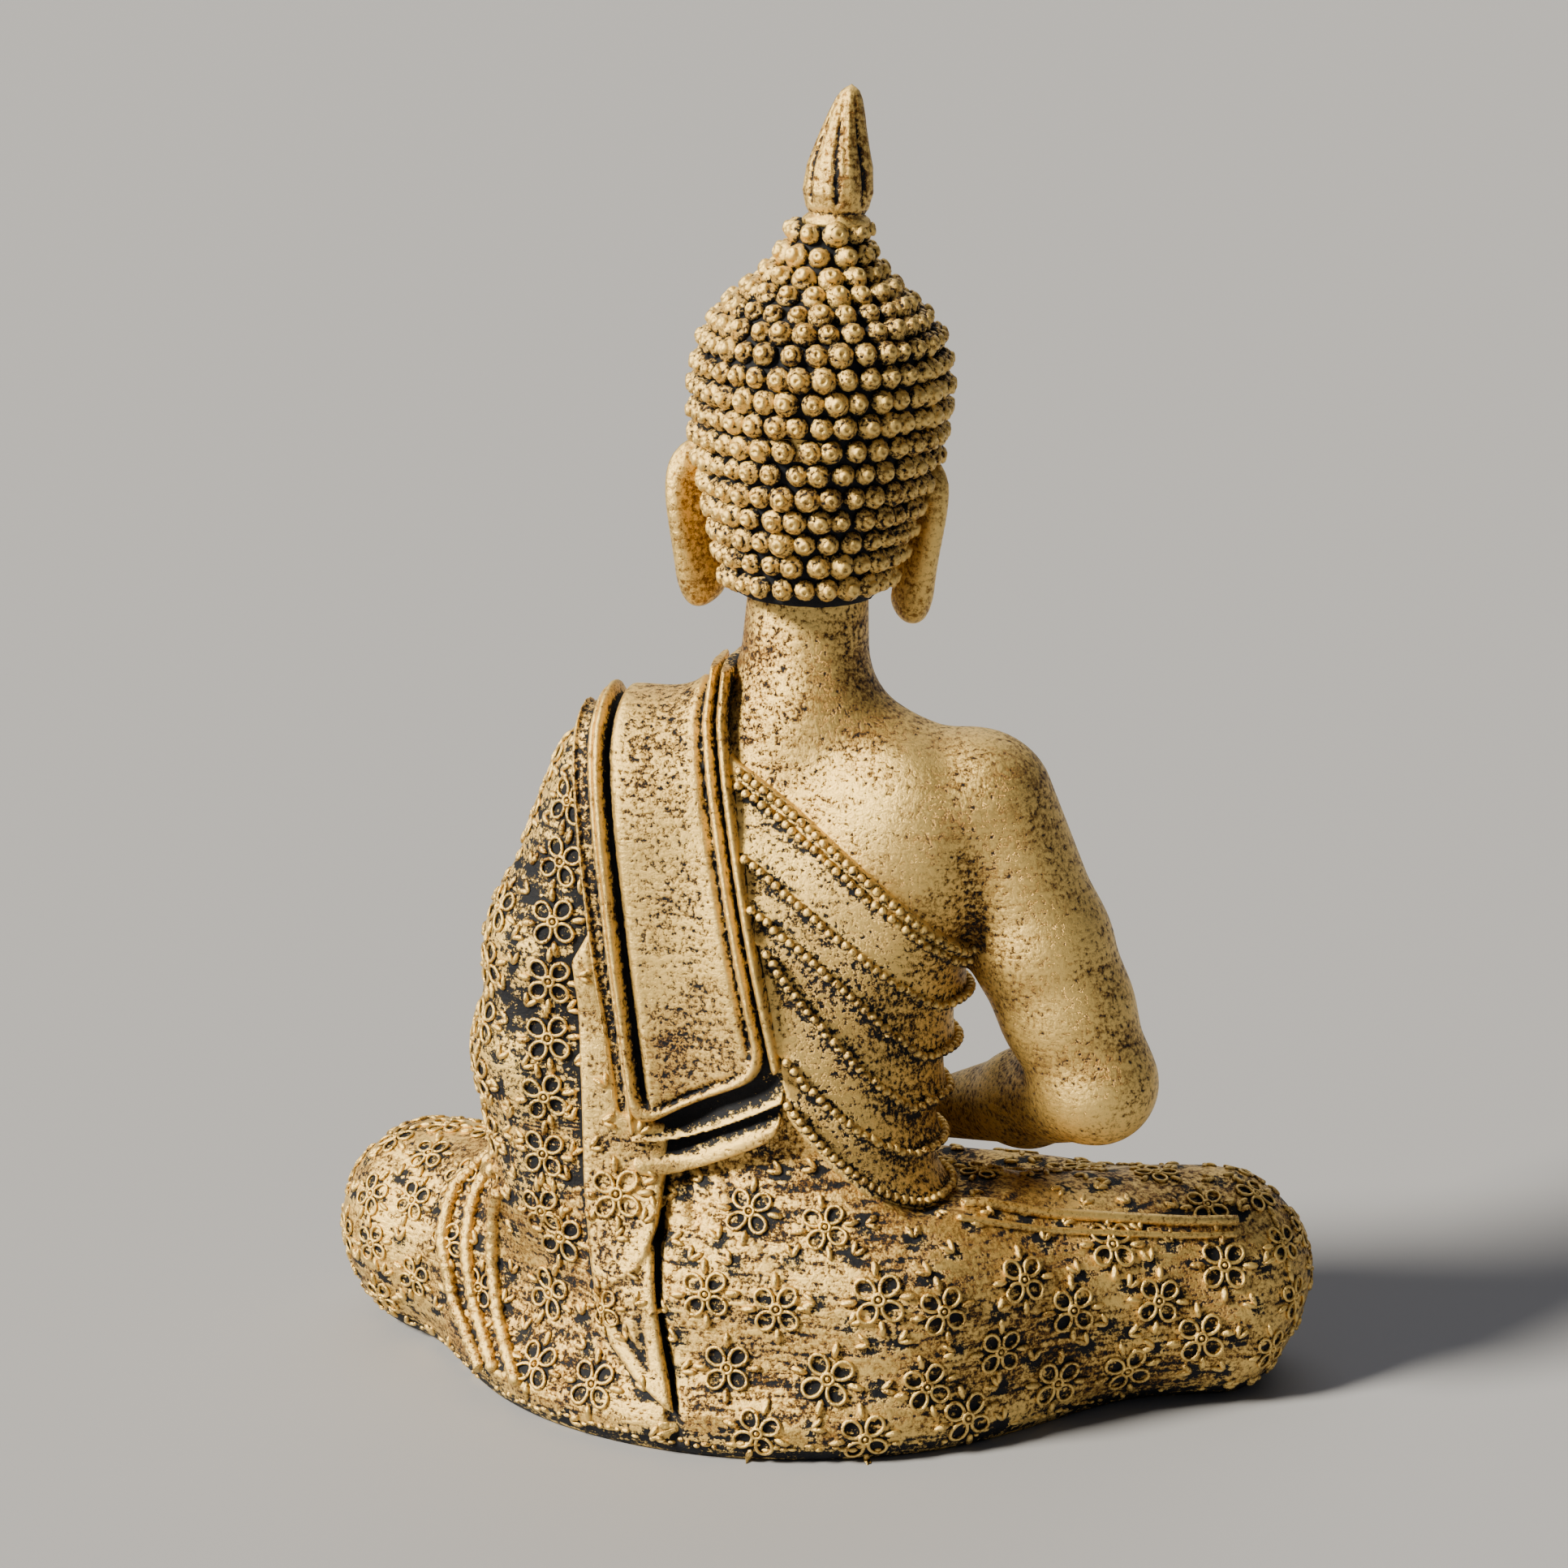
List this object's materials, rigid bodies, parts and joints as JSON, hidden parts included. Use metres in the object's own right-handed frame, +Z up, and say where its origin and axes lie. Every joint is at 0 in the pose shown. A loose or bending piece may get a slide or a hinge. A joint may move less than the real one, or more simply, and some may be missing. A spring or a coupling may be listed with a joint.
{
  "type": "seated buddha statue",
  "caption": "Seated meditating figure with snail-curl hair, flame finial, draped robe and crossed legs, resting on a flat underside.",
  "frame": {"origin": "middle of the footprint, on the surface that the figure rests on", "axes": "+Z up along the trunk, the figure faces -Y, its left side is +X"},
  "size_m": [0.218, 0.122, 0.277],
  "materials": {
    "skin_gold": "antique gold paint rubbed over a black base coat on smooth cast resin, speckled",
    "robe_gold": "antique gold paint rubbed over the raised relief of black-coated cast resin",
    "trim_gold": "bright worn gold on raised trims, black between them",
    "hair_gold": "gold rubbed over black snail curls",
    "base_resin": "plain dark cast resin",
    "felt": "black felt"
  },
  "bodies": {
    "root": {"base_plate": "base_resin", "bead_row_1": "trim_gold", "bead_row_2": "trim_gold", "bead_row_3": "trim_gold", "bead_row_4": "trim_gold", "bead_row_5": "trim_gold", "bead_row_6": "trim_gold", "border_band": "robe_gold", "felt_pads": "felt", "finial": "hair_gold", "hair_cap": "hair_gold", "head": "skin_gold", "hem_beads": "trim_gold", "lap": "robe_gold", "lap_fan": "robe_gold", "left_ear": "skin_gold", "left_foot": "skin_gold", "left_hand": "skin_gold", "left_sleeve": "robe_gold", "right_arm": "skin_gold", "right_ear": "skin_gold", "right_foot": "skin_gold", "right_hand": "skin_gold", "robe_drape": "robe_gold", "robe_tail": "robe_gold", "sash": "robe_gold", "sash_underlayer": "robe_gold", "torso": "skin_gold"}
  },
  "joints": []
}
